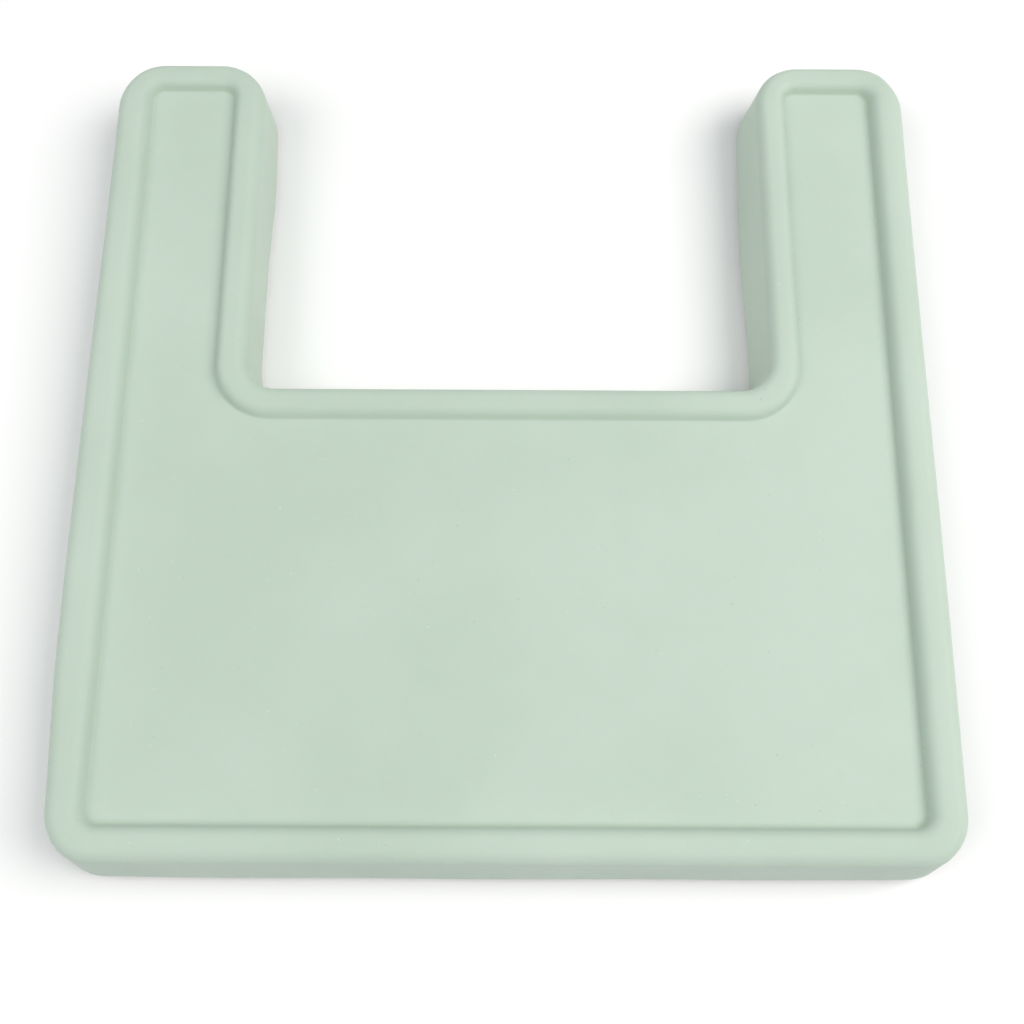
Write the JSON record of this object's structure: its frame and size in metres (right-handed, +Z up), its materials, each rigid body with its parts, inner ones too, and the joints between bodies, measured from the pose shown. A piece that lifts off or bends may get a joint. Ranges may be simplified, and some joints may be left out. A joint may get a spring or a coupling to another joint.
{
  "type": "high chair tray with silicone cover",
  "caption": "U-shaped high chair tray under a soft one-piece cover with a sunken panel, raised rounded rim and hanging skirt that lifts off for washing.",
  "frame": {"origin": "middle of the footprint, on the surface that the tray's rails stand on", "axes": "+Z up; +Y towards the child, so the notch opens to +Y and the front edge faces -Y; +X to the right seen from the front"},
  "size_m": [0.4508, 0.4448, 0.043],
  "materials": {
    "silicone": "matt moulded silicone, pale mint green",
    "tray_plastic": "satin moulded plastic, white"
  },
  "bodies": {
    "tray": {"tray": "tray_plastic"},
    "cover": {"silicone_cover": "silicone"}
  },
  "joints": [
    {"name": "cover_lift", "type": "slide", "parent": "tray", "child": "cover", "axis": [0, 0, 1], "range_m": [0, 0.08]}
  ]
}
